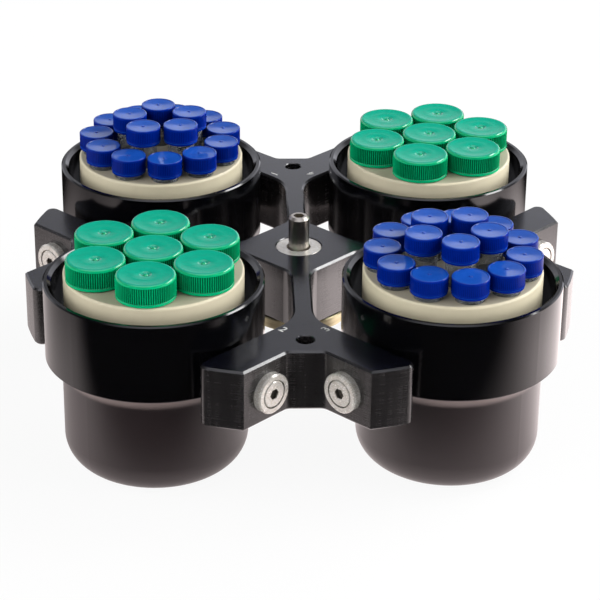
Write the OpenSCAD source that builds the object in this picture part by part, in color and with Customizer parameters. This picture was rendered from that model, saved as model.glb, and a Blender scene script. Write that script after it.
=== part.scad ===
// Four-place swing-out rotor: a machined cross with four forks, round buckets that
// hang on trunnion pins, and round adapters that hold screw-capped tubes.
// Origin: centre of the drive bore's mouth, on the rotor axis. +Z points up.
// Lengths are in millimetres, angles in degrees.

/* [Rotor cross] */
// Distance from the rotor axis to each bucket's axis
bucket_circle_r = 122.9; // [121.5:0.1:126]
// Height of the cross from its underside to its top face
cross_h = 37.5; // [35:0.5:42]
// Radius of the four fork tips
fork_tip_r = 170; // [167:0.5:174]
// Distance from the rotor axis to each flat of the square hub
hub_flat_r = 30.7; // [29:0.1:34]
// Width of the neck between hub and fork
neck_w = 11.7; // [9:0.1:13]
// Thickness of each fork ear, measured along its trunnion
ear_w = 26; // [24:0.5:28]
// Gap, along the arm, between the floor of each fork's notch and the round flanges in it
notch_floor_gap = 2.8; // [1.6:0.1:6]
// Radius of the fillets between hub and neck
hub_fillet_r = 15; // [10:1:18]
// Radius of the fillets between neck and fork
neck_fillet_r = 30; // [20:1:34]
// Radius of the two fillets in the floor of each notch
notch_fillet_r = 5; // [3:0.5:6]
// Radius of the rounded corner at each ear's tip
ear_corner_r = 5; // [3:0.5:7]
// Bevel along the edges of the cross
edge_bevel = 1.2; // [0.6:0.1:1.6]
// Diameter of the plain hole through each fork
fork_hole_d = 10.5; // [8:0.5:12]
// Distance from the floor of each fork's notch inwards to the middle of its hole
fork_hole_back = 14.4; // [11:0.1:18]

/* [Hub] */
// Diameter of the round base under the hub
base_d = 62.4; // [58:0.2:66]
// Height of the round base
base_h = 7; // [6:0.5:9]
// Outer diameter of the drive sleeve
sleeve_d = 28.2; // [27:0.2:30]
// How far the sleeve's top face lies below the top of the cross
sleeve_sink = 0.4; // [0.2:0.1:1]
// Diameter of the sleeve's foot flange
sleeve_foot_d = 38; // [34:1:42]
// Thickness of the sleeve's foot flange
sleeve_foot_h = 3; // [2:0.5:4]
// Diameter of the drive bore for the motor shaft
drive_bore_d = 20; // [18:0.5:22]
// Depth of the drive bore
drive_bore_h = 24; // [20:0.5:25]
// Diameter of the bore above it, for the tip of the lock screw
tip_bore_d = 13; // [12.5:0.5:14]
// Thickness of the web that carries the head of the lock screw
screw_web_h = 6; // [4:0.5:8]
// Height from the hub's underside to the top of that web
screw_web_top = 36; // [33:0.5:37]
// Diameter of the open bore around the head of the lock screw
head_bore_d = 15; // [14:0.5:17]
// Diameter of the circle of base screws
base_screw_circle_d = 48; // [47:0.5:50]
// Thread diameter of the base screws
base_screw_d = 5; // [4:1:5]
// Length of the base screws
base_screw_l = 16; // [12:1:20]
// Width across the flats of the base screws' sockets
base_socket_w = 3; // [2.5:0.5:3]
// Depth of the base screws' sockets
base_socket_depth = 2; // [1.5:0.5:2]

/* [Lock screw] */
// Diameter of the tall head
lock_head_d = 12.7; // [12:0.1:13.5]
// How far the head stands above the top of the cross
lock_head_out = 20.5; // [16:0.5:24]
// Bevel around the top of the head
lock_head_bevel = 1.5; // [1:0.1:2]
// Width across the flats of the sockets in the lock screw and the trunnion screws
socket_w = 6; // [5:0.5:7]
// Depth of the socket in the lock screw
lock_socket_depth = 8; // [5:1:12]
// Thread diameter of the shank
lock_shank_d = 10; // [9:0.5:10]
// Gap from the drive bore's end to the tip of the screw
lock_tip_gap = 0.6; // [0.3:0.1:1]
// Thickness of the retaining ring
ring_h = 1.2; // [1:0.1:1.6]
// Depth of the ring's groove in the shank
ring_groove = 0.7; // [0.5:0.1:1]

/* [Trunnions] */
// Height of the trunnion axis above the underside of the cross
pin_h = 18; // [17:0.5:20]
// Diameter of each trunnion pin
pin_d = 16; // [14:0.5:16]
// Wall left between each pin's groove and the cup's bore
groove_wall = 4.1; // [3:0.1:5]
// Diameter of the thin shoulder on the bucket side of the ear
shoulder_d = 20; // [18:0.5:22]
// Thickness of that shoulder
shoulder_h = 1.4; // [1:0.1:1.6]
// Diameter of the round flange on the notch side of the ear
flange_d = 24; // [22:0.5:25]
// Thickness of the flange
flange_h = 4.8; // [4:0.1:5.5]
// Diameter of the screw's head in the flange
pin_screw_head_d = 16; // [15:0.5:17]
// Height of the screw's head
pin_screw_head_h = 3; // [2.5:0.1:3.5]
// Width of the ring-shaped gap around the screw's head
head_gap = 0.6; // [0.4:0.1:1]
// Thread diameter of the trunnion screw
pin_screw_d = 10; // [8:1:10]
// Length of the trunnion screw under its head
pin_screw_l = 22; // [18:1:24]
// Depth of the socket in the trunnion screw's head
pin_socket_depth = 2.4; // [2:0.1:2.8]

/* [Buckets] */
// How far the collar stands out from the cup, on the radius
collar_step = 9.7; // [8:0.1:12]
// Height of the collar
collar_h = 48.2; // [46:0.2:50]
// Height of the rim above the trunnion axis
rim_above_pin = 40.3; // [39:0.1:41]
// Height of the whole bucket
bucket_h = 117.5; // [112:0.5:124]
// Wall thickness of the cup
cup_wall = 1.9; // [1.7:0.1:2.4]
// Thickness of the cup's floor
cup_floor = 2.4; // [2:0.1:4]
// Radius of the cup's rounded bottom edge
cup_corner_r = 19; // [14:1:22]
// Radius of the fillet under the collar
collar_fillet_r = 9; // [5:0.5:9]
// Wall of the collar beside the lid seat
lid_seat_wall = 4.6; // [3:0.1:6]
// Depth of the lid seat below the rim
lid_seat_depth = 17; // [14:0.5:20]
// Bevel on the inner edge of the rim
rim_bevel = 2; // [1:0.1:2.4]
// Gap between the collar and each fork ear
collar_gap = 2; // [1.8:0.1:2.6]

/* [Adapters] */
// How far the adapter stands above the rim of the bucket
adapter_out = 5.5; // [3:0.5:8]
// Wall of the adapter outside its outermost tubes
adapter_wall = 2.05; // [1.5:0.05:4]
// Rounding of the adapter's top edge
adapter_edge_r = 1.5; // [1:0.1:2.5]
// Number of large tubes around the middle one
large_count = 6; // [5:1:6]
// Gap between the large caps, as if six stood around the middle one
large_cap_gap = 0.85; // [0.3:0.05:3]
// Number of small tubes in the outer row
small_outer_count = 11; // [10:1:11]
// Gap between the small caps of the outer row
small_outer_gap = 1.23; // [0.3:0.01:2]
// Number of small tubes in the inner row
small_inner_count = 5; // [4:1:5]
// Gap between the small caps of the inner row
small_inner_gap = 1.65; // [0.3:0.01:3]

/* [Tubes] */
// Diameter of the large tube
large_tube_d = 28.6; // [28:0.1:29]
// Length of the large tube with its cap
large_tube_l = 115; // [110:1:118]
// Diameter of the large cap
large_cap_d = 35; // [34:0.1:35.2]
// Height of the large cap
large_cap_h = 13.6; // [12:0.1:14]
// Height of the large cap's top above the bucket's rim
large_cap_out = 19.6; // [19.4:0.1:22]
// Height of the large tube's cone
large_cone_h = 14; // [12:1:16]
// Radius of the large tube's rounded-off tip
large_tip_r = 3.5; // [3:0.5:5]
// Thickness of the large cap's top
large_lid_t = 2.2; // [1.8:0.1:2.6]
// Diameter of the small tube
small_tube_d = 16.8; // [16:0.1:17.2]
// Length of the small tube with its cap
small_tube_l = 120; // [116:1:122]
// Diameter of the small cap
small_cap_d = 22.1; // [21.5:0.1:22.4]
// Height of the small cap
small_cap_h = 11; // [10:0.1:11.4]
// Height of the outer small caps' tops above the bucket's rim
small_cap_out = 19.6; // [18:0.1:22]
// How much higher the inner row of small caps stands
inner_row_rise = 12; // [11.8:0.1:14]
// Height of the small tube's cone
small_cone_h = 22; // [18:1:24]
// Radius of the small tube's rounded-off tip
small_tip_r = 2.4; // [2:0.1:3]
// Thickness of the small cap's top
small_lid_t = 1.8; // [1.4:0.1:2.2]
// Wall thickness of the tubes
tube_wall = 1.2; // [1:0.1:1.4]
// How far the threaded neck stands out from the tube's wall
neck_step = 0.6; // [0.4:0.1:0.8]
// Rounding of the caps' top edge
cap_edge_r = 1.2; // [0.8:0.1:1.6]
// Gap around each tube in its hole
tube_gap = 0.4; // [0.3:0.1:0.5]

/* [Hidden] */
$fn = 96;

// Radial clearance of a shaft in its hole, and of a loose piece beside its neighbour
fit_gap = 0.05;
loose_gap = 0.3;
// How far a cutter runs past the face that it cuts
over = 1;
// Bevel around the mouths of the round holes in the cross
hole_bevel = 0.5;
// How far the trunnion pins stop short of their flanges, so that the flanges clamp the ears
clamp_gap = 1;
// How far the wide neck of a tube starts above the edge of its cap's skirt
neck_inset = 1;
// A radius well outside the cross, for the cutters that open outwards
far = 1.1 * fork_tip_r;

// Colours
black_metal = [0.13, 0.13, 0.14];
cup_metal = [0.22, 0.19, 0.19];
gold_metal = [0.72, 0.66, 0.48];
bright_metal = [0.80, 0.77, 0.72];
ivory = [0.80, 0.78, 0.70];
clear_plastic = [0.80, 0.86, 0.88];
green_plastic = [0.08, 0.62, 0.44];
blue_plastic = [0.10, 0.22, 0.72];

// Heights above the origin
cross_z = base_h;
cross_top = cross_z + cross_h;
pin_z = cross_z + pin_h;
rim_z = pin_z + rim_above_pin;

// Circles of n caps of diameter d with a gap between neighbours, and the radii that
// follow from the tubes outwards: adapter, cup and collar
function circle_r(n, d, gap) = (d + gap) / (2 * sin(180 / n));
large_circle_r = circle_r(6, large_cap_d, large_cap_gap);
small_outer_r = circle_r(small_outer_count, small_cap_d, small_outer_gap);
small_inner_r = circle_r(small_inner_count, small_cap_d, small_inner_gap);
tubes_r = max(large_circle_r + large_tube_d / 2, small_outer_r + small_tube_d / 2);
adapter_r = tubes_r + tube_gap + adapter_wall;
cup_bore_r = adapter_r + loose_gap;
cup_r = cup_bore_r + cup_wall;
collar_r = cup_r + collar_step;
lid_seat_r = collar_r - lid_seat_wall;

// Faces of a bay, in a frame whose +X points at the bucket: the ears stand at +-ear_face
// and +-notch_face across it, and the necks run at 45 degrees, neck_cross from the axis
ear_face = collar_r + collar_gap;
notch_face = ear_face + ear_w;
neck_cross = neck_w / sqrt(2);

// Distance from the rotor axis to the floor of each fork's notch
notch_floor_r = (bucket_circle_r + notch_face - flange_d / 2) / sqrt(2) - notch_floor_gap;

fork_hole_r = notch_floor_r - fork_hole_back;

// Heights of the adapters, and the grooves that take the pins
adapter_bottom = cup_floor + fit_gap - bucket_h;
adapter_h = adapter_out - adapter_bottom;
groove_floor = cup_bore_r + groove_wall;
pin_nose = groove_floor + 2 * loose_gap;

// Height of the retaining ring's underside, and the place along the trunnion axis where
// the screw's head seats in the flange
ring_z = screw_web_top - screw_web_h - loose_gap - ring_h;
screw_seat = notch_face + flange_h - pin_screw_head_h;

// A tube's kind: [radius, length with cap, cap radius, cap height, cone height, tip radius, lid]
large = [
    large_tube_d / 2, large_tube_l, large_cap_d / 2, large_cap_h,
    large_cone_h, large_tip_r, large_lid_t,
];
small = [
    small_tube_d / 2, small_tube_l, small_cap_d / 2, small_cap_h,
    small_cone_h, small_tip_r, small_lid_t,
];

// Turn of each adapter about its own axis, in its bucket
adapter_turn = [0, 140, 39.7, 355.7, 31.4];

// Places of n tubes on a circle, the first at angle a
function ring(n, r, a = 0) = [for (i = [0 : n - 1]) r * [cos(a + 360 * i / n), sin(a + 360 * i / n)]];
large_ring = ring(large_count, large_circle_r);
small_outer_ring = ring(small_outer_count, small_outer_r);
small_inner_ring = ring(small_inner_count, small_inner_r, 180);

// ---- Placing ----

// Frame of bay i: +X points from the rotor axis at the bucket
module in_bay(i) {
    rotate(45 + 90 * i)
        children();
}

// Frame of bucket i, with the rim's centre at its origin
module in_bucket(i) {
    in_bay(i)
        translate([bucket_circle_r, 0, rim_z])
            children();
}

// Both trunnions of bay i: +Z points along the pin, out of the bucket into the ear
module at_trunnions(i) {
    in_bay(i)
        for (side = [0, 1])
            mirror([0, side, 0])
                translate([bucket_circle_r, 0, pin_z])
                    rotate([-90, 0, 0])
                        children();
}

// ---- Shapes ----

// Half section of a round pot: radius r, height h, rounded bottom edge
module pot_section(r, h, corner) {
    square([r - corner, h]);
    translate([0, corner])
        square([r, h - corner]);
    translate([r - corner, corner])
        circle(corner);
}

// Hexagon socket of width w across its flats, sunk by d from z = 0 downwards
module hex_socket(w, d) {
    translate([0, 0, -d])
        cylinder(h = d + over, d = w / cos(30), $fn = 6);
}

// Cylinder with both end edges bevelled
module bevelled_cylinder(r, h, bevel) {
    rotate_extrude()
        polygon([[0, 0], [r - bevel, 0], [r, bevel], [r, h - bevel], [r - bevel, h], [0, h]]);
}

// Cutter that bevels the top edge of a wall along the line from p to q, metal on its left
module edge_cut(p, q) {
    run = q - p;
    translate([p[0], p[1], cross_h])
        rotate(atan2(run[1], run[0]))
            rotate([90, 0, 90])
                linear_extrude(norm(run))
                    polygon([[-over, -edge_bevel - over], [edge_bevel + over, over], [-over, over]]);
}

// Cutter for a fillet of radius r: a round hole whose rims flare by the bevel
module flared_hole(p, r, bevel) {
    translate([p[0], p[1], 0])
        rotate_extrude()
            polygon([
                [0, -over], [r + bevel + over, -over], [r, bevel],
                [r, cross_h - bevel], [r + bevel + over, cross_h + over], [0, cross_h + over],
            ]);
}

// Repeats a cutter for the top edge on the bottom edge
module top_and_bottom() {
    children();
    translate([0, 0, cross_h])
        mirror([0, 0, 1])
            children();
}

// ---- Rotor cross ----

// One side of a bay's opening: hub flat, fillet, neck, fillet and ear face
module bay_side() {
    // Centres of the two fillets, and where they touch the straight walls
    hub_c = [hub_flat_r + hub_fillet_r, neck_cross + hub_fillet_r * sqrt(2) - hub_flat_r - hub_fillet_r];
    fork_c = [neck_cross + neck_fillet_r * sqrt(2) + ear_face - neck_fillet_r, neck_fillet_r - ear_face];
    hub_t = hub_c - hub_fillet_r / sqrt(2) * [1, 1];
    fork_t = fork_c - neck_fillet_r / sqrt(2) * [1, 1];
    // Centre of the rounding at the ear's tip
    tip_y = -ear_face - ear_corner_r;
    tip_c = [sqrt(pow(fork_tip_r - ear_corner_r, 2) - tip_y * tip_y), tip_y];
    tip_t = tip_c * fork_tip_r / (fork_tip_r - ear_corner_r);

    translate([0, 0, -over])
        linear_extrude(cross_h + 2 * over)
            polygon([
                [hub_flat_r, over], [hub_flat_r, hub_c[1]], hub_c, hub_t,
                fork_t, fork_c, [fork_c[0], -ear_face], [far, -ear_face], [far, over],
            ]);
    flared_hole(hub_c, hub_fillet_r, edge_bevel);
    flared_hole(fork_c, neck_fillet_r, edge_bevel);
    top_and_bottom() {
        edge_cut([hub_flat_r, hub_c[1]], [hub_flat_r, over]);
        edge_cut(fork_t, hub_t);
        edge_cut([tip_c[0], -ear_face], [fork_c[0], -ear_face]);
    }
    // Rounds the ear's tip
    difference() {
        translate([0, 0, -over])
            linear_extrude(cross_h + 2 * over)
                polygon([tip_c, [tip_c[0], -ear_face + over], [far, -ear_face + over], tip_t * far / fork_tip_r]);
        translate([tip_c[0], tip_c[1], 0])
            bevelled_cylinder(ear_corner_r, cross_h, edge_bevel);
    }
}

// Half of the notch between a fork's two ears, in a frame whose +X runs along the arm
module notch_side() {
    wall = notch_face * sqrt(2);
    floor_c = [notch_floor_r + notch_fillet_r, notch_floor_r + notch_fillet_r - wall - notch_fillet_r * sqrt(2)];
    wall_t = floor_c + notch_fillet_r / sqrt(2) * [-1, 1];
    translate([0, 0, -over])
        linear_extrude(cross_h + 2 * over)
            polygon([[notch_floor_r, -over], [notch_floor_r, floor_c[1]], floor_c, wall_t,
                [far, far - wall], [far, -over]]);
    flared_hole(floor_c, notch_fillet_r, edge_bevel);
    top_and_bottom() {
        edge_cut([notch_floor_r, -over], [notch_floor_r, floor_c[1]]);
        edge_cut(wall_t, [far, far - wall]);
    }
}

module rotor_cross() {
    color(black_metal)
        difference() {
            translate([0, 0, cross_z])
                difference() {
                    bevelled_cylinder(fork_tip_r, cross_h, edge_bevel);
                    for (i = [1 : 4], side = [0, 1])
                        in_bay(i)
                            mirror([0, side, 0])
                                bay_side();
                    for (a = [0 : 90 : 270], side = [0, 1])
                        rotate(a)
                            mirror([0, side, 0])
                                notch_side();
                    for (a = [0 : 90 : 270])
                        rotate(a)
                            flared_hole([fork_hole_r, 0], fork_hole_d / 2, hole_bevel);
                    flared_hole([0, 0], sleeve_d / 2 + fit_gap, hole_bevel);
                }
            for (i = [1 : 4])
                at_trunnions(i)
                    translate([0, 0, ear_face - over])
                        cylinder(h = ear_w + 2 * over, d = pin_d + 2 * fit_gap);
            at_base_screws()
                translate([0, 0, cross_z - over])
                    cylinder(h = base_screw_l - cross_z + 2 * over, d = base_screw_d + 2 * fit_gap);
        }
}

// ---- Hub ----

module at_base_screws() {
    for (a = [0 : 90 : 270])
        rotate(a)
            translate([base_screw_circle_d / 2, 0, 0])
                children();
}

// Countersunk screw, head flush with z = 0 and twice as wide as the thread, grown by gap
module base_screw(gap) {
    head_r = base_screw_d;
    rotate_extrude()
        polygon([
            [0, 0], [head_r + gap, 0], [base_screw_d / 2 + gap, head_r - base_screw_d / 2],
            [base_screw_d / 2 + gap, base_screw_l + gap], [0, base_screw_l + gap],
        ]);
}

module hub_base() {
    bevel = 0.6;
    color(gold_metal)
        difference() {
            bevelled_cylinder(base_d / 2, base_h, bevel);
            translate([0, 0, -over])
                cylinder(h = base_h + 2 * over, d = sleeve_d + 2 * fit_gap);
            translate([0, 0, base_h - sleeve_foot_h])
                cylinder(h = sleeve_foot_h + over, d = sleeve_foot_d + 2 * fit_gap);
            at_base_screws()
                base_screw(fit_gap);
        }
}

module base_screws() {
    color(bright_metal)
        at_base_screws()
            difference() {
                base_screw(0);
                mirror([0, 0, 1])
                    hex_socket(base_socket_w, base_socket_depth);
            }
}

module drive_sleeve() {
    r = sleeve_d / 2;
    top = cross_top - sleeve_sink;
    foot = base_h - sleeve_foot_h;
    bevel = 0.4;
    color(bright_metal)
        rotate_extrude()
            difference() {
                polygon([
                    [0, 0], [r, 0], [r, foot], [sleeve_foot_d / 2, foot], [sleeve_foot_d / 2, base_h],
                    [r, base_h], [r, top - bevel], [r - bevel, top], [0, top],
                ]);
                translate([-over, -over])
                    square([drive_bore_d / 2 + over, drive_bore_h + over]);
                translate([-over, 0])
                    square([tip_bore_d / 2 + over, screw_web_top - screw_web_h]);
                translate([-over, 0])
                    square([lock_shank_d / 2 + fit_gap + over, top]);
                translate([-over, screw_web_top])
                    square([head_bore_d / 2 + over, top]);
            }
}

module lock_screw() {
    head_r = lock_head_d / 2;
    shank_r = lock_shank_d / 2;
    tip = drive_bore_h + lock_tip_gap;
    top = cross_top + lock_head_out;
    tip_bevel = 0.8;
    color(bright_metal)
        difference() {
            rotate_extrude()
                polygon([
                    [0, tip], [shank_r - tip_bevel, tip], [shank_r, tip + tip_bevel],
                    [shank_r, ring_z], [shank_r - ring_groove, ring_z],
                    [shank_r - ring_groove, ring_z + ring_h], [shank_r, ring_z + ring_h],
                    [shank_r, screw_web_top], [head_r, screw_web_top],
                    [head_r, top - lock_head_bevel], [head_r - lock_head_bevel, top], [0, top],
                ]);
            translate([0, 0, top])
                hex_socket(socket_w, lock_socket_depth);
        }
}

// Split ring that snaps into the groove and keeps the screw in the hub
module retaining_ring() {
    slot = 2.5;
    outer_r = tip_bore_d / 2 - loose_gap;
    inner_r = lock_shank_d / 2 - ring_groove + fit_gap;
    color(bright_metal)
        translate([0, 0, ring_z])
            difference() {
                cylinder(h = ring_h, r = outer_r);
                translate([0, 0, -over])
                    cylinder(h = ring_h + 2 * over, r = inner_r);
                translate([0, -slot / 2, -over])
                    cube([outer_r + over, slot, ring_h + 2 * over]);
            }
}

// ---- Trunnions ----

module trunnion_pin() {
    r = pin_d / 2;
    bevel = 0.8;
    end = notch_face - clamp_gap;
    color(bright_metal)
        difference() {
            rotate_extrude()
                polygon([
                    [0, pin_nose], [r - bevel, pin_nose], [r, pin_nose + bevel],
                    [r, ear_face - shoulder_h], [shoulder_d / 2, ear_face - shoulder_h],
                    [shoulder_d / 2, ear_face], [r, ear_face], [r, end], [0, end],
                ]);
            translate([0, 0, screw_seat - pin_screw_l - over])
                cylinder(h = pin_screw_l + 2 * over, d = pin_screw_d + 2 * fit_gap);
        }
}

module pin_flange() {
    r = flange_d / 2;
    bevel = 0.8;
    color(bright_metal)
        difference() {
            translate([0, 0, notch_face])
                rotate_extrude()
                    polygon([[0, 0], [r, 0], [r, flange_h - bevel], [r - bevel, flange_h], [0, flange_h]]);
            translate([0, 0, notch_face - over])
                cylinder(h = flange_h + 2 * over, d = pin_screw_d + 2 * fit_gap);
            translate([0, 0, screw_seat])
                cylinder(h = pin_screw_head_h + over, d = pin_screw_head_d + 2 * head_gap);
        }
}

module pin_screw() {
    head_r = pin_screw_head_d / 2;
    bevel = 0.6;
    color(bright_metal)
        translate([0, 0, screw_seat])
            difference() {
                rotate_extrude()
                    polygon([
                        [0, -pin_screw_l], [pin_screw_d / 2 - bevel, -pin_screw_l],
                        [pin_screw_d / 2, bevel - pin_screw_l], [pin_screw_d / 2, 0], [head_r, 0],
                        [head_r, pin_screw_head_h - bevel], [head_r - bevel, pin_screw_head_h],
                        [0, pin_screw_head_h],
                    ]);
                translate([0, 0, pin_screw_head_h])
                    hex_socket(socket_w, pin_socket_depth);
            }
}

// ---- Buckets ----

// Half section of the collar, its rim at y = 0, with the fillet down to the cup
module collar_section() {
    r = collar_r;
    bevel = 0.8;
    polygon([
        [0, 0], [r - bevel, 0], [r, -bevel], [r, bevel - collar_h], [r - bevel, -collar_h],
        [0, -collar_h],
    ]);
    difference() {
        translate([0, -collar_h - collar_fillet_r])
            square([cup_r + collar_fillet_r, collar_fillet_r + over]);
        translate([cup_r + collar_fillet_r, -collar_h - collar_fillet_r])
            circle(collar_fillet_r);
    }
}

// Seat for a lid: a wide bore down to a flat ledge, its mouth bevelled
module lid_seat_section() {
    r = lid_seat_r;
    polygon([
        [0, over], [r + rim_bevel + over, over], [r, -rim_bevel], [r, -lid_seat_depth],
        [0, -lid_seat_depth],
    ]);
}

module bucket() {
    color(cup_metal)
        difference() {
            union() {
                rotate_extrude()
                    translate([0, -bucket_h])
                        pot_section(cup_r, bucket_h - collar_h / 2, cup_corner_r);
                rotate_extrude()
                    collar_section();
            }
            rotate_extrude()
                translate([0, cup_floor - bucket_h])
                    pot_section(cup_bore_r, bucket_h, cup_corner_r - cup_wall);
            rotate_extrude()
                lid_seat_section();
            // Grooves, open downwards, that drop over the trunnion pins
            for (side = [0, 1])
                mirror([0, side, 0])
                    translate([0, groove_floor, -rim_above_pin]) {
                        rotate([-90, 0, 0])
                            cylinder(h = collar_r, d = pin_d + 2 * fit_gap);
                        translate([-pin_d / 2 - fit_gap, 0, -collar_h])
                            cube([pin_d + 2 * fit_gap, collar_r, collar_h]);
                    }
        }
}

// ---- Adapters and tubes ----

// Hole for one tube: a straight bore over a conical seat, in the bucket's frame
module tube_hole(kind, cap_top) {
    bottom = cap_top - kind[1];
    rotate_extrude()
        polygon([
            [0, bottom - loose_gap], [kind[5] + tube_gap, bottom - loose_gap],
            [kind[0] + tube_gap, bottom + kind[4]], [kind[0] + tube_gap, adapter_out + over],
            [0, adapter_out + over],
        ]);
}

// Round block that fills the bucket, in the bucket's frame, with its holes as children
module adapter_block() {
    color(ivory)
        difference() {
            translate([0, 0, adapter_bottom])
                rotate_extrude() {
                    pot_section(adapter_r, adapter_h - adapter_edge_r, cup_corner_r - cup_wall + loose_gap);
                    translate([0, adapter_h / 2])
                        square([adapter_r - adapter_edge_r, adapter_h / 2]);
                    translate([adapter_r - adapter_edge_r, adapter_h - adapter_edge_r])
                        circle(adapter_edge_r);
                }
            children();
        }
}

module large_adapter() {
    adapter_block()
        for (p = concat([[0, 0]], large_ring))
            translate(p)
                tube_hole(large, large_cap_out);
}

module small_adapter() {
    adapter_block() {
        for (p = small_outer_ring)
            translate(p)
                tube_hole(small, small_cap_out);
        for (p = small_inner_ring)
            translate(p)
                tube_hole(small, small_cap_out + inner_row_rise);
    }
}

// Conical-bottomed tube without its cap; its thread band is a plain wider neck
module tube(kind, cap_top) {
    r = kind[0];
    bottom = cap_top - kind[1];
    rim = cap_top - kind[6];
    neck = cap_top - kind[3] + neck_inset;
    neck_r = r + neck_step;
    color(clear_plastic)
        rotate_extrude()
            polygon([
                [0, bottom], [kind[5], bottom], [r, bottom + kind[4]], [r, neck], [neck_r, neck],
                [neck_r, rim], [r - tube_wall, rim], [r - tube_wall, bottom + kind[4]],
                [kind[5] - tube_wall / 2, bottom + tube_wall], [0, bottom + tube_wall],
            ]);
}

// Screw cap: a closed top on a skirt around the tube's neck
module cap(kind, cap_top) {
    r = kind[2];
    h = kind[3];
    bore_r = kind[0] + neck_step + loose_gap;
    translate([0, 0, cap_top - h])
        rotate_extrude()
            difference() {
                union() {
                    square([r, h - cap_edge_r]);
                    square([r - cap_edge_r, h]);
                    translate([r - cap_edge_r, h - cap_edge_r])
                        circle(cap_edge_r);
                }
                translate([-over, -over])
                    square([bore_r + over, h - kind[6] + over]);
            }
}

module tubes(places, kind, cap_top) {
    for (p = places)
        translate(p)
            tube(kind, cap_top);
}

module caps(places, kind, cap_top, paint) {
    color(paint)
        for (p = places)
            translate(p)
                cap(kind, cap_top);
}

// Contents of bucket i, turned with its adapter
module in_adapter(i) {
    in_bucket(i)
        rotate(adapter_turn[i])
            children();
}

module outer_small_tubes(i) {
    in_adapter(i)
        tubes(small_outer_ring, small, small_cap_out);
}

module inner_small_tubes(i) {
    in_adapter(i)
        tubes(small_inner_ring, small, small_cap_out + inner_row_rise);
}

module outer_small_caps(i) {
    in_adapter(i)
        caps(small_outer_ring, small, small_cap_out, blue_plastic);
}

module inner_small_caps(i) {
    in_adapter(i)
        caps(small_inner_ring, small, small_cap_out + inner_row_rise, blue_plastic);
}

module outer_large_tubes(i) {
    in_adapter(i)
        tubes(large_ring, large, large_cap_out);
}

module outer_large_caps(i) {
    in_adapter(i)
        caps(large_ring, large, large_cap_out, green_plastic);
}

module centre_tube(i) {
    in_adapter(i)
        tubes([[0, 0]], large, large_cap_out);
}

module centre_cap(i) {
    in_adapter(i)
        caps([[0, 0]], large, large_cap_out, green_plastic);
}

rotor_cross();
hub_base();
base_screws();
drive_sleeve();
lock_screw();
retaining_ring();
at_trunnions(1) trunnion_pin();  // trunnion_pins_1
at_trunnions(2) trunnion_pin();  // trunnion_pins_2
at_trunnions(3) trunnion_pin();  // trunnion_pins_3
at_trunnions(4) trunnion_pin();  // trunnion_pins_4
at_trunnions(1) pin_flange();  // pin_flanges_1
at_trunnions(2) pin_flange();  // pin_flanges_2
at_trunnions(3) pin_flange();  // pin_flanges_3
at_trunnions(4) pin_flange();  // pin_flanges_4
at_trunnions(1) pin_screw();  // pin_screws_1
at_trunnions(2) pin_screw();  // pin_screws_2
at_trunnions(3) pin_screw();  // pin_screws_3
at_trunnions(4) pin_screw();  // pin_screws_4
in_bucket(1) bucket();  // bucket_1
in_bucket(2) bucket();  // bucket_2
in_bucket(3) bucket();  // bucket_3
in_bucket(4) bucket();  // bucket_4
in_adapter(1) small_adapter();  // adapter_1
in_adapter(2) large_adapter();  // adapter_2
in_adapter(3) small_adapter();  // adapter_3
in_adapter(4) large_adapter();  // adapter_4
outer_small_tubes(1);  // outer_tubes_1
outer_small_caps(1);  // outer_caps_1
inner_small_tubes(1);  // inner_tubes_1
inner_small_caps(1);  // inner_caps_1
outer_large_tubes(2);  // outer_tubes_2
outer_large_caps(2);  // outer_caps_2
centre_tube(2);  // centre_tube_2
centre_cap(2);  // centre_cap_2
outer_small_tubes(3);  // outer_tubes_3
outer_small_caps(3);  // outer_caps_3
inner_small_tubes(3);  // inner_tubes_3
inner_small_caps(3);  // inner_caps_3
outer_large_tubes(4);  // outer_tubes_4
outer_large_caps(4);  // outer_caps_4
centre_tube(4);  // centre_tube_4
centre_cap(4);  // centre_cap_4
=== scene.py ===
# %% [markdown]
# # Swing-out rotor
# A machined cross carries four round buckets on trunnion pins. In the buckets stand
# adapters with screw-capped tubes. The solids come from CAD and stay where they are.
# Here they get their finishes, and the small forms that CAD left plain: ribbed caps and
# place numbers. The scene is in metres, in the CAD frame: Z is the rotor's axis, the
# buckets stand on the diagonals. Shapes and finishes are thought out in millimetres, and
# MM turns those into metres.

# %% Load the frame
import math
import bpy
import numpy as np
from mathutils import Matrix, Vector


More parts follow.
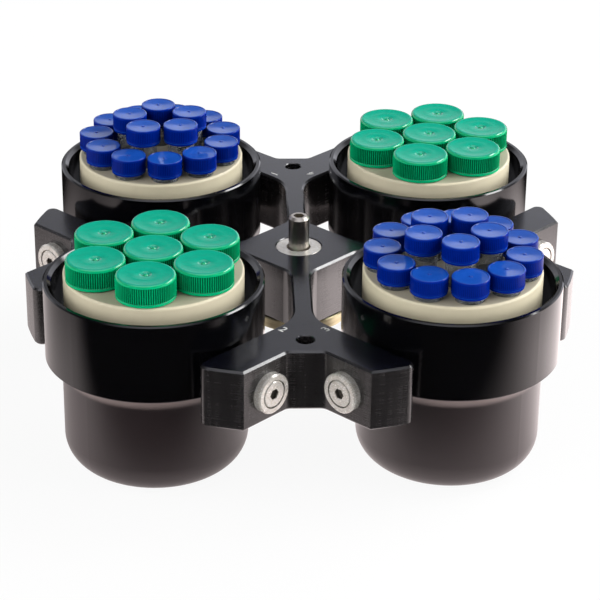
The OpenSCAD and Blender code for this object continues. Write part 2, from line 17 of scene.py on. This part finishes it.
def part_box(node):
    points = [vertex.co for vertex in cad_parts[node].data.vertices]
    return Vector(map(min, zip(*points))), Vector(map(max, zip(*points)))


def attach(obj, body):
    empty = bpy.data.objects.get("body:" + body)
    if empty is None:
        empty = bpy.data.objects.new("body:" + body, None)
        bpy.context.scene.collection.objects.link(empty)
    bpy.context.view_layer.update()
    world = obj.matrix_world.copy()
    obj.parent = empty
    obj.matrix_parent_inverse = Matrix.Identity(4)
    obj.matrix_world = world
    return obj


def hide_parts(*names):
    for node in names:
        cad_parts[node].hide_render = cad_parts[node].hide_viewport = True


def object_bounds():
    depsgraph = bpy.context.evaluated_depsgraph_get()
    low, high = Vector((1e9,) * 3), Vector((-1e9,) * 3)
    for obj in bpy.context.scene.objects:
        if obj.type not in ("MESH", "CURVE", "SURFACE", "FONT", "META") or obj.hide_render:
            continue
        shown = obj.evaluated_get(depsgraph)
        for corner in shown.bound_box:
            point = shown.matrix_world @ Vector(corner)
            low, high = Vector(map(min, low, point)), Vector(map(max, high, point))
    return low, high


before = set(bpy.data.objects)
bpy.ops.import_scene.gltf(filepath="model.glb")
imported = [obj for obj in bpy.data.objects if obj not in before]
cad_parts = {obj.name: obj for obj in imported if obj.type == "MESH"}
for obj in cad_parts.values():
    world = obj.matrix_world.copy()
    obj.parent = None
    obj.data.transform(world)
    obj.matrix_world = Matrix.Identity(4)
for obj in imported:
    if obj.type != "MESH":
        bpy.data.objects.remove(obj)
cad_box = [list(corner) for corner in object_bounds()]
MM = 0.001

# %% [markdown]
# ## The camera
# A long lens from far away, 26 degrees above the horizon, keeps the four buckets almost
# the same size. The camera is rolled by a little over half a degree. Its matrix is built
# from three directions: right, up and backwards. The lens is in millimetres, and nothing
# beyond FAR is seen.

# %% Camera
AIM = Vector((1.16, -0.04, 7.03)) * MM
DISTANCE = 1407.8 * MM
ELEVATION, TURN, ROLL = (math.radians(a) for a in (26.32, 2.04, 0.614))
LENS = 134.65
FAR = 20

out_level = math.cos(ELEVATION)
back = Vector((-out_level * math.sin(TURN), -out_level * math.cos(TURN), math.sin(ELEVATION)))
level = Vector((0, 0, 1)).cross(back).normalized()
right = Matrix.Rotation(-ROLL, 3, -back) @ level
view = Matrix((right, back.cross(right), back)).transposed().to_4x4()
camera = bpy.data.objects.new("camera", bpy.data.cameras.new("camera"))
camera.data.lens = LENS
camera.data.clip_end = FAR
camera.matrix_world = Matrix.Translation(AIM + DISTANCE * back) @ view
bpy.context.scene.collection.objects.link(camera)
bpy.context.scene.camera = camera
print("camera at", [round(c, 3) for c in camera.location])

# %% [markdown]
# ## Shader maths as Python
# A finish is a tree of nodes. Two small classes make it readable. `Value` wraps a socket
# and overloads the operators, so `1 - 0.3 * mask` adds its own Math nodes. `Recipe` owns
# a tree. Its method `node` takes a node's type, its settings and its inputs, and the
# others are short ways to call it.

# %% Value and Recipe
class Value:
    """A number that a shader works out, ready for arithmetic."""

    def __init__(self, recipe, socket):
        self.recipe, self.socket = recipe, socket

    def maths(self, operation, *terms):
        return self.recipe.node("Math", {"operation": operation}, dict(enumerate(terms)))

    def __add__(self, other):
        return self.maths("ADD", self, other)

    def __radd__(self, other):
        return self.maths("ADD", other, self)

    def __sub__(self, other):
        return self.maths("SUBTRACT", self, other)

    def __rsub__(self, other):
        return self.maths("SUBTRACT", other, self)

    def __mul__(self, other):
        return self.maths("MULTIPLY", self, other)

    def __rmul__(self, other):
        return self.maths("MULTIPLY", other, self)

    def __truediv__(self, other):
        return self.maths("DIVIDE", self, other)

    def step(self, low, high):
        """A soft step: 0 at low, 1 at high, smooth between them."""
        settings = {"interpolation_type": "SMOOTHSTEP"}
        return self.recipe.node("MapRange", settings, {"Value": self, "From Min": low, "From Max": high})

    def largest(self, other):
        return self.maths("MAXIMUM", self, other)

    def smallest(self, other):
        return self.maths("MINIMUM", self, other)

    def size(self):
        return self.maths("ABSOLUTE", self)


class Recipe:
    """The node tree of a material or of the world, with short ways to add to it."""

    def __init__(self, owner):
        owner.use_nodes = True
        self.tree = owner.node_tree

    def feed(self, socket, value):
        if isinstance(value, Value):
            self.tree.links.new(value.socket, socket)
        elif isinstance(value, (tuple, list)) and socket.type == "RGBA":
            socket.default_value = (*value, 1.0)
        else:
            socket.default_value = value

    def node(self, kind, settings=None, sockets=None, out=0):
        """Adds a node: its settings first, then the values or links of its sockets."""
        made = self.tree.nodes.new("ShaderNode" + kind)
        for name, value in (settings or {}).items():
            setattr(made, name, value)
        for name, value in (sockets or {}).items():
            self.feed(made.inputs[name], value)
        return Value(self, made.outputs[out]) if made.outputs else made

    def mix(self, mask, first, second):
        """Colour that runs from first, where mask is 0, to second, where it is 1."""
        return self.node("Mix", {"data_type": "RGBA"}, {0: mask, 6: first, 7: second}, out=2)

    def parts(self, vector):
        """The x, y and z of a vector."""
        split = self.node("SeparateXYZ", None, {0: vector})
        return [Value(self, socket) for socket in split.socket.node.outputs]


print("shader helpers ready")

# %% [markdown]
# ## Floor and background
# The rotor stands before plain white. For the camera the floor is mostly a white of
# strength 1, and the rest is matt paper, which keeps a soft shadow. Shiny metal sees the
# floor lit only near the rotor, dimmer on its left than on its right, where it is twice as
# bright as the camera's white. Far in front, behind and far to the sides it is nearly
# dark: that is what makes black metal look black. Each kind of ray is told apart with
# Light Path. The limits of the steps are places on the floor, in metres from the rotor's
# axis: x to the right, y away from the camera.

# %% Floor
def is_ray(recipe, *kinds):
    """1 for a ray of one of these kinds, otherwise 0."""
    path = recipe.node("LightPath").socket.node
    total = Value(recipe, path.outputs[f"Is {kinds[0]} Ray"])
    for kind in kinds[1:]:
        total = total.largest(Value(recipe, path.outputs[f"Is {kind} Ray"]))
    return total


FLOOR_GAP = 0.0003
FLOOR_HALF = 4.0
WHITE_SHARE = 0.92
LIT_LEFT, LIT_RIGHT, DARK_FLOOR = 0.72, 2.0, 0.012
WHITE, PAPER, FLOOR_TINT = (1.0, 1.0, 1.0), (0.9, 0.9, 0.9), (1.09, 0.965, 0.955)

floor_z = cad_box[0][2] - FLOOR_GAP
floor_corners = [(FLOOR_HALF * a, FLOOR_HALF * b, floor_z) for a, b in ((-1, -1), (1, -1), (1, 1), (-1, 1))]
floor_mesh = bpy.data.meshes.new("floor")
floor_mesh.from_pydata(floor_corners, [], [(0, 1, 2, 3)])
floor = bpy.data.objects.new("floor", floor_mesh)
bpy.context.scene.collection.objects.link(floor)

paper = bpy.data.materials.new("white_paper")
paper.cycles.emission_sampling = "NONE"
recipe = Recipe(paper)
recipe.tree.nodes.clear()
x, y, z = recipe.parts(recipe.node("TexCoord", None, None, out=3))
left = y.step(-0.215, -0.115) * x.step(-0.52, -0.24) * LIT_LEFT
right = (y + 0.25 * x).step(-0.25, 0.06) * (1.0 - x.step(0.28, 0.50)) * LIT_RIGHT
lit = (left + (right - left) * x.step(-0.08, 0.08)) * (1.0 - y.step(0.12, 0.30))
seen = is_ray(recipe, "Camera", "Transmission")
glossy = is_ray(recipe, "Glossy")
warm = recipe.mix(glossy, WHITE, FLOOR_TINT)
glow = recipe.node("Emission", None, {"Color": warm, "Strength": seen + glossy * (DARK_FLOOR + lit)})
matt = recipe.node("BsdfDiffuse", None, {"Color": PAPER})
share = (seen * WHITE_SHARE).largest(glossy)
surface = recipe.node("MixShader", None, {0: share, 1: matt, 2: glow})
recipe.node("OutputMaterial", None, {"Surface": surface})
floor_mesh.materials.append(paper)
print("floor at", round(floor_z / MM, 1), "mm")

# %% [markdown]
# ## Studio light
# The world plays the studio. Matt surfaces are lit by two broad soft lights, one from the
# left front and a stronger one from the right, over a weak dome. Shiny ones see a pale
# wall behind the rotor, brighter low down and on the right, a bright panel on the right, a
# dimmer one on the left and a light overhead. An image of a real studio would do the same,
# but numbers can be tuned one by one. Here x, y and z are the direction a ray leaves in:
# to the right, away from the camera and up.

# %% World
WALL, HORIZON, PANEL_RIGHT, PANEL_LEFT, OVERHEAD = 0.27, 0.70, 1.3, 0.6, 0.9
WALL_LEFT, WALL_GAIN = 0.72, 0.36
FILL_BASE, FILL_LEFT, FILL_RIGHT = 0.05, 2.3, 5.0
DARK_ROOM = 0.01
ROOM_TINT = (0.975, 0.98, 1.07)

world = bpy.data.worlds.new("studio")
bpy.context.scene.world = world
world.cycles.sampling_method = "NONE"
recipe = Recipe(world)
recipe.tree.nodes.clear()
x, y, z = recipe.parts(recipe.node("TexCoord", None, None, out=0))
low = 1.0 - z.step(0.33, 0.446)
wall = y.step(-0.1, 0.4) * (WALL + HORIZON * low) * (WALL_LEFT + WALL_GAIN * x.step(-0.12, 0.10))
panel_right = (x + 0.4 * y).step(0.55, 0.8) * (1.0 - z.step(0.05, 0.35)) * PANEL_RIGHT
panel_left = (0.3 * y - x).step(0.6, 0.9) * (1.0 - z.step(0.05, 0.4)) * PANEL_LEFT
overhead = z.step(0.75, 0.95) * OVERHEAD
shine = DARK_ROOM + wall.largest(panel_right).largest(panel_left).largest(overhead)
fill_left = (0.16 * z - 0.86 * x - 0.49 * y).step(0.35, 0.95)
fill_right = (0.05 * z + 0.99 * x + 0.10 * y).step(0.42, 0.95)
dome = FILL_BASE + FILL_LEFT * fill_left + FILL_RIGHT * fill_right
glossy = is_ray(recipe, "Glossy")
strength = is_ray(recipe, "Camera", "Transmission") + glossy * shine + is_ray(recipe, "Diffuse") * dome
cool = recipe.mix(glossy, WHITE, ROOM_TINT)
sky = recipe.node("Background", None, {"Color": cool, "Strength": strength})
recipe.node("OutputWorld", None, {"Surface": sky})
print("world:", world.name)

# %% [markdown]
# One softbox hangs high on the right and a little behind the rotor, and looks at its
# middle. It lights the flat tops and gives the small hard highlights. What a softbox
# gives is its area times pi times how bright its face is, so the brightness is named and
# the power follows.

# %% Lamp
KEY_PLACE = Vector((0.70, 0.26, 0.67)) * 1.2
KEY_WIDTH, KEY_HEIGHT = 0.8, 0.26
KEY_RADIANCE = 7.5

softbox = bpy.data.lights.new("key_softbox", "AREA")
softbox.shape = "RECTANGLE"
softbox.size = KEY_WIDTH
softbox.size_y = KEY_HEIGHT
softbox.energy = math.pi * KEY_WIDTH * KEY_HEIGHT * KEY_RADIANCE
key = bpy.data.objects.new("key_softbox", softbox)
facing = KEY_PLACE.to_track_quat("Z", "Y").to_matrix().to_4x4()
key.matrix_world = Matrix.Translation(KEY_PLACE) @ facing
bpy.context.scene.collection.objects.link(key)
bpy.context.scene.view_settings.view_transform = "Standard"

# %% [markdown]
# ## Finishes
# Every finish below is one Principled shader. What is the same all over is set on the
# shader's own sockets. What varies, such as tool marks, speckle or a change of tone, is
# worked out from the place on the piece, in millimetres.

# %% Finish class
class Finish(Recipe):
    """A material with one Principled shader, and the usual patterns in millimetres."""

    def __init__(self, name, **constants):
        self.material = bpy.data.materials.new(name)
        super().__init__(self.material)
        self.shader = self.tree.nodes["Principled BSDF"]
        for socket, value in constants.items():
            self.feed(self.shader.inputs[socket.replace("_", " ")], value)
        here = self.node("TexCoord", None, None, out=3)
        self.place = self.node("VectorMath", {"operation": "SCALE"}, {0: here, "Scale": 1 / MM})
        self.x, self.y, self.z = self.parts(self.place)
        self.facing = self.parts(self.node("TexCoord", None, None, out=1))

    def noise(self, scale, stretch=(1, 1, 1), detail=3.0):
        """Noise between 0 and 1 with `scale` cells per millimetre, stretched along an axis."""
        at = self.node("Mapping", None, {"Vector": self.place, "Scale": stretch})
        return self.node("TexNoise", None, {"Vector": at, "Scale": scale, "Detail": detail})

    def set(self, socket, value):
        self.feed(self.shader.inputs[socket], value)

    def bump(self, height, strength, distance=0.0001):
        relief = {"Height": height, "Strength": strength, "Distance": distance}
        self.set("Normal", self.node("Bump", None, relief))


def dress(finish, *nodes):
    """Gives CAD nodes a finish."""
    for name in nodes:
        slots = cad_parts[name].data.materials
        slots.clear()
        slots.append(finish.material)


PLACES = (1, 2, 3, 4)
LARGE, SMALL = (2, 4), (1, 3)
print("finishes can be mixed now")

# %% [markdown]
# ### Black anodised cross
# Milled aluminium, dyed black under a hard clear layer. It reflects more than paint does,
# so the refractive index is set high. The cutter leaves fine level lines on the upright
# faces and faint streaks on the flat ones. The upright faces are painted a lighter grey
# than the flat ones: a painted sheen.

# %% Cross
black = Finish("black_anodised", IOR=2.2)
flat = black.facing[2].size().step(0.6, 0.9)
lines = black.noise(1.4, (0.02, 0.02, 2.2), 4.0)
swirl = black.noise(0.9, (0.12, 1.6, 1.0), 3.0)
cloud = black.noise(0.05, (1, 1, 1), 2.0)
streaks = black.noise(0.22, (1, 1, 0.06), 3.0)
marks = 0.5 * lines.step(0.35, 0.65) + 0.5 * streaks.step(0.3, 0.7)
# The lighter grey of the upright faces is a painted sheen; the cutter marks vary it.
sides = black.mix(marks, (0.006, 0.0052, 0.0058), (0.023, 0.0200, 0.0206))
tops = black.mix(swirl.step(0.3, 0.7), (0.0010, 0.0013, 0.0040), (0.0022, 0.0026, 0.0072))
black.set("Base Color", black.mix(flat, sides, tops))
tool_marks = (0.14 * lines + 0.14 * streaks) * (1.0 - flat) + 0.16 * swirl * flat
black.set("Roughness", 0.08 + tool_marks + 0.06 * cloud)
black.bump(lines * (1.0 - flat) + swirl * flat * 0.7, 0.14)
dress(black, "rotor_cross")
print("cross dressed")

# %% [markdown]
# ### Buckets
# The collar is turned and polished black. Below it the cup has a satin dark brown tone.
# On the curve where it meets the collar a paler band is painted: a painted reflection.
# One node holds all three, so the height on the bucket, in millimetres, tells them apart.

# %% Buckets
COLLAR_FOOT = (16.2, 17.0)
CURVE = (6.5, 10.5)

bucket = Finish("bucket_metal", IOR=1.8)
collar = bucket.z.step(*COLLAR_FOOT)
rings = bucket.noise(1.6, (0.01, 0.01, 1.5), 3.0)
grain = bucket.noise(1.2, (1, 1, 1), 3.0)
# The paler band on the curve under the collar is a painted reflection.
painted_fillet_reflection = bucket.z.step(*CURVE)
cup_and_painted_reflection = bucket.mix(painted_fillet_reflection, (0.0195, 0.0112, 0.0128), (0.165, 0.122, 0.115))
bucket.set("Base Color", bucket.mix(collar, cup_and_painted_reflection, (0.0010, 0.0010, 0.0016)))
bucket.set("Roughness", 0.26 - 0.16 * collar + 0.04 * rings + 0.05 * grain * (1.0 - collar))
bucket.bump(rings + grain * 0.5, 0.03)
dress(bucket, *[f"bucket_{i}" for i in PLACES])
print("buckets dressed")

# %% [markdown]
# ### Steel and gold
# Pins, flanges and screws are stainless steel with a dull, slightly speckled surface. It
# counts as two thirds metal, so that it stays pale where it mirrors something dark. The
# lock screw is polished, with turned rings round it. The base under the hub is turned
# aluminium with a pale gold dye.

# %% Metals
def machined(name, painted_shade=None):
    """Dull stainless steel. Where the given mask is 1 it is painted nearly black: painted shade."""
    steel = Finish(name, Metallic=0.65)
    speck = steel.noise(2.2, (1, 1, 1), 4.0)
    blot = steel.noise(0.5, (1, 1, 1), 2.0)
    bare = steel.mix(blot.step(0.3, 0.7), (0.82, 0.77, 0.70), (0.96, 0.93, 0.88))
    # In the sockets the steel is painted nearly black: painted shade in the recess.
    steel.set("Base Color", steel.mix(painted_shade(steel) if painted_shade else 0.0, bare, (0.13, 0.115, 0.10)))
    steel.set("Roughness", 0.16 + 0.18 * speck)
    steel.bump(speck, 0.15)
    return steel


def in_socket(steel):
    """Where the socket of a pin's screw is painted dark, a painted shade: 1 below the face of
    the screw, fading out in its last millimetre. Along a pin, the distance from the bucket's
    middle plane is the smaller of |x + y| and |x - y|, over the root of two."""
    out = (steel.x + steel.y).size().smallest((steel.x - steel.y).size()) / math.sqrt(2)
    return 1.0 - out.step(SCREW_FACE - 1.0, SCREW_FACE - 0.3)


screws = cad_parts["pin_screws_2"].data
corners = np.empty(len(screws.vertices) * 3)
screws.vertices.foreach_get("co", corners)
corners = corners.reshape(-1, 3) / MM
off_middle = np.minimum(abs(corners[:, 0] + corners[:, 1]), abs(corners[:, 0] - corners[:, 1]))
SCREW_FACE = float(off_middle.max() / math.sqrt(2))
print("pin screws end", round(SCREW_FACE, 2), "mm from a bucket's middle")

dress(machined("machined_steel"), "drive_sleeve", "base_screws", "retaining_ring",
      *[f"{name}_{i}" for name in ("trunnion_pins", "pin_flanges") for i in PLACES])
# The sockets of the pin screws get painted shade.
dress(machined("screw_steel", in_socket), *[f"pin_screws_{i}" for i in PLACES])

polish = Finish("polished_steel", Metallic=1.0)
turned = polish.noise(2.0, (0.02, 0.02, 2.0), 3.0)
polish.set("Base Color", polish.mix(polish.noise(0.3), (0.68, 0.62, 0.54), (0.86, 0.81, 0.73)))
polish.set("Roughness", 0.24 + 0.14 * turned)
polish.bump(turned, 0.04)
dress(polish, "lock_screw")

gold = Finish("pale_gold", Metallic=1.0)
ridges = gold.noise(1.5, (0.02, 0.02, 2.4), 3.0)
gold.set("Base Color", gold.mix(ridges.step(0.3, 0.7), (0.52, 0.45, 0.26), (0.72, 0.66, 0.44)))
gold.set("Roughness", 0.34 + 0.12 * ridges)
gold.bump(ridges, 0.12)
dress(gold, "hub_base")
print("metals dressed")

# %% [markdown]
# ### Ivory adapters and clear tubes
# The adapters are moulded in an ivory plastic with a faint grain. Their flat tops, which
# lie in the shade between the caps, are painted darker than their sides: painted shade.
# The tubes are clear; only their necks show under the caps until they are lifted out.

# %% Adapters and tubes
ivory = Finish("ivory_plastic", IOR=1.46)
mottle = ivory.noise(0.12, (1, 1, 1), 2.0)
grain = ivory.noise(3.0, (1, 1, 1), 2.0)
upright = ivory.mix(mottle, (0.64, 0.58, 0.42), (0.71, 0.64, 0.47))
# The flat tops are painted darker than the sides: painted shade between the caps.
ivory.set("Base Color", ivory.mix(ivory.facing[2].step(0.85, 0.99), upright, (0.50, 0.455, 0.34)))
ivory.set("Roughness", 0.36 + 0.10 * grain)
ivory.bump(grain, 0.05)
dress(ivory, *[f"adapter_{i}" for i in PLACES])

clear = Finish("clear_plastic", Base_Color=(0.22, 0.235, 0.26), IOR=1.5)
haze = clear.noise(0.16, (1, 1, 0.2), 2.0)
edge = clear.node("LayerWeight", None, {"Blend": 0.35}, out=1)
clear.set("Roughness", 0.10 + 0.12 * haze)
clear.set("Alpha", 0.12 + 0.10 * haze + 0.60 * edge)
dress(clear, *[f"outer_tubes_{i}" for i in PLACES], *[f"inner_tubes_{i}" for i in SMALL],
      *[f"centre_tube_{i}" for i in LARGE])
print("adapters and tubes dressed")

# %% [markdown]
# ## Turned surfaces
# The caps are round, so each is a profile of (radius, height) points carried round the
# axis. A modifier could do that too, but here the whole grid is worked out at once as
# arrays, and the ribs come for free: a third number per point is their depth there, and
# the radius shrinks by it in every groove.

# %% Lathe
FLANK = 0.35
CREASE = 35


def lathe(profile, ribs):
    """Points and faces of a profile turned about Z, closed at both ends on the axis.
    x = (r - depth * groove(a)) cos a, y = the same with sin a, z = height, where groove(a)
    is 0 on a rib and 1 between two. Each rib has four columns. Every second one moves back
    and the others forward by FLANK of their spacing, which sets how steep the flanks are."""
    rows = np.array([(*p, 0.0)[:3] for p in profile])
    columns = 4 * ribs
    step = np.arange(columns)
    angle = 2 * np.pi * (step + FLANK * np.where(step % 2, -1, 1)) / columns
    groove = (step % 4 >= 2) * 1.0
    ring = rows[1:-1, None, :]
    radius = ring[..., 0] - ring[..., 2] * groove
    height = np.broadcast_to(ring[..., 1], radius.shape)
    grid = np.stack([radius * np.cos(angle), radius * np.sin(angle), height], -1).reshape(-1, 3)
    points = np.vstack([grid, [(0, 0, rows[0, 1]), (0, 0, rows[-1, 1])]])
    row, col = np.meshgrid(np.arange(len(rows) - 3), step, indexing="ij")
    after = (col + 1) % columns
    quads = np.stack([row * columns + col, row * columns + after, (row + 1) * columns + after,
                      (row + 1) * columns + col], -1).reshape(-1, 4)
    around = (step + 1) % columns
    last = (len(rows) - 3) * columns
    first_fan = np.stack([np.full(columns, len(points) - 2), around, step], -1)
    last_fan = np.stack([np.full(columns, len(points) - 1), last + step, last + around], -1)
    depth = np.append((ring[..., 2] > 0) * groove, (0, 0))
    return points * MM, [*quads.tolist(), *first_fan.tolist(), *last_fan.tolist()], depth


def piece(name, shape, places, finish):
    """One object from copies of a shape, one at each (x, y, z) of places, in metres. Edges
    that turn by more than CREASE degrees stay sharp."""
    points, faces, depth = shape
    every = (np.asarray(places)[:, None, :] + points[None]).reshape(-1, 3)
    shifted = [[v + k * len(points) for v in face] for k in range(len(places)) for face in faces]
    mesh = bpy.data.meshes.new(name)
    mesh.from_pydata(every.tolist(), [], shifted)
    groove = mesh.attributes.new("groove", "FLOAT", "POINT")
    groove.data.foreach_set("value", np.tile(depth, len(places)))
    mesh.shade_smooth()
    mesh.set_sharp_from_angle(angle=math.radians(CREASE))
    mesh.materials.append(finish.material)
    made = bpy.data.objects.new(name, mesh)
    bpy.context.scene.collection.objects.link(made)
    return made


print("lathe ready")

# %% [markdown]
# ## Where the tubes stand
# Six large tubes stand on a circle round a seventh. Eleven small ones stand on an outer
# circle and five on an inner one, 12 mm higher, which starts half a turn round. Each
# adapter sits in its bucket at its own turn, so the angles, all in degrees, start there.
# The circles' radii are in millimetres. Heights are read off the CAD caps.

# %% Places of the tubes
BUCKET_AT = {1: 135, 2: 225, 3: 315, 4: 45}
ADAPTER_TURN = {1: 140, 2: 39.7, 3: 355.7, 4: 31.4}
LARGE_CIRCLE, OUTER_CIRCLE, INNER_CIRCLE = 35.85, 41.4, 20.2
LARGE_COUNT, OUTER_COUNT, INNER_COUNT = 6, 11, 5
INNER_START = 180


def on_circle(bucket, count, radius, start, z):
    """Places of count tubes on a circle of this radius about a bucket's axis, at height z."""
    low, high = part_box(f"bucket_{bucket}")
    middle = np.array([(low[0] + high[0]) / 2, (low[1] + high[1]) / 2])
    angle = np.radians(BUCKET_AT[bucket] + ADAPTER_TURN[bucket] + start + 360 / count * np.arange(count))
    flat = middle + radius * MM * np.stack([np.cos(angle), np.sin(angle)], -1)
    return np.column_stack([flat, np.full(count, z)])


def foot(node):
    """Height of the lowest point of a CAD node, in metres."""
    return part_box(node)[0][2]


tube_places = {}
for i in LARGE:
    z = foot(f"outer_caps_{i}")
    tube_places[f"outer_caps_{i}"] = on_circle(i, LARGE_COUNT, LARGE_CIRCLE, 0, z)
    tube_places[f"centre_cap_{i}"] = on_circle(i, 1, 0, 0, z)
for i in SMALL:
    outer, inner = f"outer_caps_{i}", f"inner_caps_{i}"
    tube_places[outer] = on_circle(i, OUTER_COUNT, OUTER_CIRCLE, 0, foot(outer))
    tube_places[inner] = on_circle(i, INNER_COUNT, INNER_CIRCLE, INNER_START, foot(inner))
print({name: len(where) for name, where in tube_places.items()})

# %% [markdown]
# ## Screw caps
# The large green cap has a smooth shoulder, 80 ribs below it and a plain band at the
# foot. The small blue one has finer ribs, a foot flange with a groove above it and a
# raised rim round its top. Both have the mark of the mould's gate in the middle. The
# profiles run from the middle of the inside, down and out over the foot, up the side and
# in over the top: radius and height in millimetres, and the ribs' depth where there are
# any.

# %% Profiles of the caps
def arc(centre, radius, start, end, steps):
    """Points on a circle of this radius about (r, z), from one angle to another in degrees."""
    angle = np.radians(np.linspace(start, end, steps))
    return [(centre[0] + radius * math.cos(a), centre[1] + radius * math.sin(a), 0.0) for a in angle]


green_profile = [(0, 11.4), (15.2, 11.4), (15.2, 0.4), (15.5, 0), (17.2, 0), (17.5, 0.3), (17.5, 1.3),
                 (17.35, 1.6), (17.4, 1.9, 0.65), (17.4, 11.5, 0.65), (17.42, 11.8), (17.4, 11.95),
                 *arc((15.7, 11.9), 1.7, 8, 88, 7), (15.0, 13.58), (14.5, 13.42), (9, 13.36),
                 (3.9, 13.32), (3.1, 13.05), (2.4, 12.6), (1.6, 12.5), (1.25, 12.75), (0.9, 13.2),
                 (0.4, 13.35), (0, 13.35)]
blue_profile = [(0, 9.2), (9.35, 9.2), (9.35, 0.4), (9.6, 0), (10.45, 0), (10.75, 0.2), (10.8, 1.25),
                (10.45, 1.35), (10.45, 1.6), (10.75, 1.7), (11.05, 2.0), (11.05, 2.2), (10.9, 2.45),
                (10.97, 2.8, 0.12), (10.95, 9.3, 0.12), (10.97, 9.7),
                *arc((10.3, 10.25), 0.68, 2, 88, 6), (9.95, 10.92), (9.75, 10.72), (9.5, 10.68),
                (3.6, 10.66), (3.3, 10.6), (1.1, 10.6), (1.0, 10.75), (0.75, 10.93), (0.4, 11.0),
                (0, 11.0)]
print("profiles:", len(green_profile), "and", len(blue_profile), "points")

# %% [markdown]
# ### Plastic of the caps
# Both caps are moulded plastic of a strong colour with a slight mottle. Between the ribs
# they are painted darker: painted shade. Their flat tops get a painted sheen in their
# colour, bluer on the green cap, lighter and paler on the blue one. Their gloss is a clear
# coat over a base that mirrors little, so that it can be laid where it is wanted: on the
# green cap's shoulder only, on the blue cap mostly on its top.

# %% Plastic of the caps
def cap_plastic(name, cells, sides, painted_groove_shade, tops, **constants):
    """A finish with two tones for upright faces and two for flat ones, mixed by a mottle of
    this many cells per millimetre. The flat tones carry a painted sheen, and the one darker
    tone between the ribs is painted shade. Also gives back the mottle and the mask of the
    flat faces."""
    plastic = Finish(name, **constants)
    mottle = plastic.noise(cells)
    top = plastic.facing[2].step(0.75, 0.98)
    groove = plastic.node("Attribute", {"attribute_name": "groove"}, None, out=2)
    # Painted shade: the tone between the ribs is darker.
    side = plastic.mix(groove, plastic.mix(mottle, *sides), painted_groove_shade)
    # Painted sheen: the flat tops get tones of their own.
    plastic.set("Base Color", plastic.mix(top, side, plastic.mix(mottle, *tops)))
    return plastic, mottle, top


# The tones of the tops are a painted sheen; the tone between the ribs is painted shade.
green, mottle, top = cap_plastic(
    "green_plastic", 0.25, sides=((0.0, 0.37, 0.14), (0.0, 0.44, 0.19)), painted_groove_shade=(0.0, 0.07, 0.022),
    tops=((0.001, 0.31, 0.200), (0.003, 0.37, 0.240)), IOR=1.16, Coat_IOR=1.75, Coat_Roughness=0.06)
green.set("Coat Weight", green.facing[2].step(0.1, 0.4) * (1.0 - green.facing[2].step(0.93, 0.99)))
green.set("Roughness", 0.12 + 0.09 * mottle)
green.bump(green.noise(0.22, (1, 1, 1), 2.0) * top, 0.20, 0.0005)

blue, mottle, top = cap_plastic(
    "blue_plastic", 0.3, sides=((0.0, 0.012, 0.20), (0.0, 0.021, 0.28)), painted_groove_shade=(0.0, 0.007, 0.13),
    tops=((0.006, 0.066, 0.38), (0.013, 0.092, 0.47)), IOR=1.12, Coat_IOR=1.6, Coat_Roughness=0.09)
blue.set("Coat Weight", 0.08 + 0.64 * blue.facing[2].step(0.15, 0.4))
blue.set("Roughness", 0.17 + 0.09 * mottle)
blue.bump(blue.noise(1.0), 0.06)
print("plastics of the caps mixed")

# %% [markdown]
# ### Caps on their tubes
# All caps of a ring are one object, as in CAD, where they ride on one body. Each object
# replaces its plain CAD node. The middle cap of the large tubes rides on a body of its
# own, because it turns.

# %% Caps on their tubes
GREEN_RIBS, BLUE_RIBS = 80, 60

for name, where in tube_places.items():
    large = int(name[-1]) in LARGE
    shape = lathe(green_profile, ribs=GREEN_RIBS) if large else lathe(blue_profile, ribs=BLUE_RIBS)
    body = name if name.startswith("centre") else name.replace("caps", "tubes")
    caps = piece(name.replace("cap", "ribbed_cap"), shape, where, green if large else blue)
    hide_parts(name)
    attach(caps, body)
    print(caps.name, len(caps.data.polygons), "faces on", body)

# %% [markdown]
# ## Place numbers
# Each fork is marked beside its buckets with their numbers, engraved and filled white.
# The outline of a digit comes from Blender's own font. It is turned so that it reads from
# outside, across the bucket, and lies as a thin skin on the cross. Places and height of
# the digits are in millimetres, the skin's half thickness is in metres. The text gets any
# thickness at all, so that it has two sides to lay apart, and its outline is moved out a
# little, which makes the digits bolder.

# %% Numbers
NUMBER_AT = {1: (-12.6, 113.6), 2: (-12.2, -113.6), 3: (12.0, -113.6), 4: (11.6, 113.8)}
NUMBER_HEIGHT = 5.6
HALF_SKIN = 0.00003
FONT_THICKNESS, FONT_BOLDER = 0.01, 0.018

number_paint = Finish("number_paint", IOR=1.45)
chalk = number_paint.mix(number_paint.noise(4.0), (0.78, 0.78, 0.75), (0.92, 0.92, 0.90))
number_paint.set("Base Color", chalk)
number_paint.set("Roughness", 0.5 + 0.2 * number_paint.noise(2.0))

for number, (x, y) in NUMBER_AT.items():
    text = bpy.data.curves.new(f"digit_{number}", "FONT")
    text.body = str(number)
    text.extrude = FONT_THICKNESS
    text.offset = FONT_BOLDER
    text.align_x = "CENTER"
    writing = bpy.data.objects.new(f"digit_{number}", text)
    bpy.context.scene.collection.objects.link(writing)
    evaluated = writing.evaluated_get(bpy.context.evaluated_depsgraph_get())
    mesh = bpy.data.meshes.new_from_object(evaluated)
    bpy.data.objects.remove(writing)
    flat = np.empty(len(mesh.vertices) * 3)
    mesh.vertices.foreach_get("co", flat)
    flat = flat.reshape(-1, 3)
    middle = (flat.max(0) + flat.min(0)) / 2
    flat = (flat - middle) * (NUMBER_HEIGHT * MM / (flat[:, 1].max() - flat[:, 1].min()))
    turn = math.radians(BUCKET_AT[number] + 90)
    spin = np.array([[math.cos(turn), -math.sin(turn)], [math.sin(turn), math.cos(turn)]])
    cross_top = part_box("rotor_cross")[1][2]
    height = cross_top + HALF_SKIN + np.sign(flat[:, 2]) * HALF_SKIN
    placed = np.column_stack([flat[:, :2] @ spin.T + np.array([x, y]) * MM, height])
    mesh.vertices.foreach_set("co", placed.ravel())
    mesh.materials.clear()
    mesh.materials.append(number_paint.material)
    digit = bpy.data.objects.new(f"place_number_{number}", mesh)
    bpy.context.scene.collection.objects.link(digit)
    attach(digit, "rotor")
print("numbers on the forks")
